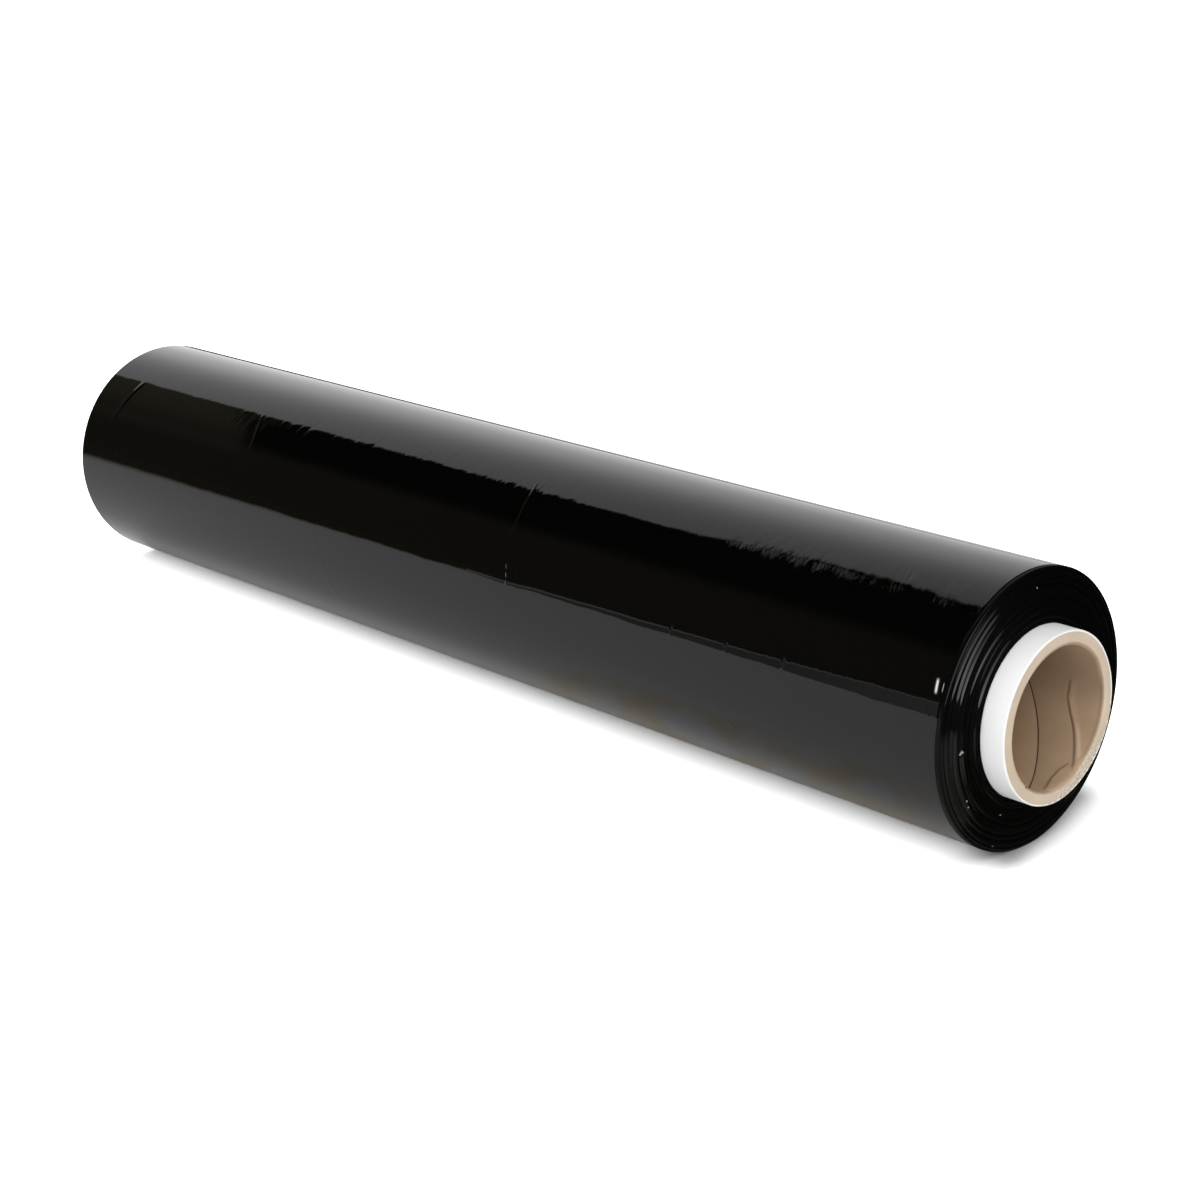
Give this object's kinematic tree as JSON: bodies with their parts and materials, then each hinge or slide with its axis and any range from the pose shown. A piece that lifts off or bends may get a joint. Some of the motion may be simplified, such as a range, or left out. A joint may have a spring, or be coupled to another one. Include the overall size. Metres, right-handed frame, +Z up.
{
  "type": "stretch wrap roll",
  "caption": "Hand roll of black stretch film wound on a white-covered board core that stands out of both ends, lying on its side.",
  "frame": {"origin": "middle of the flat spot that the roll lies on, half way along the film", "axes": "+X along the core towards the end that the picture shows, +Z up"},
  "size_m": [0.5182, 0.097, 0.0966],
  "materials": {
    "film": "glossy black polyethylene film, tightly wound",
    "board": "plain beige wound board",
    "white_paper": "smooth matt white paper"
  },
  "bodies": {
    "root": {"film_roll": "film", "core_tube": "board", "core_cover": "white_paper"}
  },
  "joints": []
}
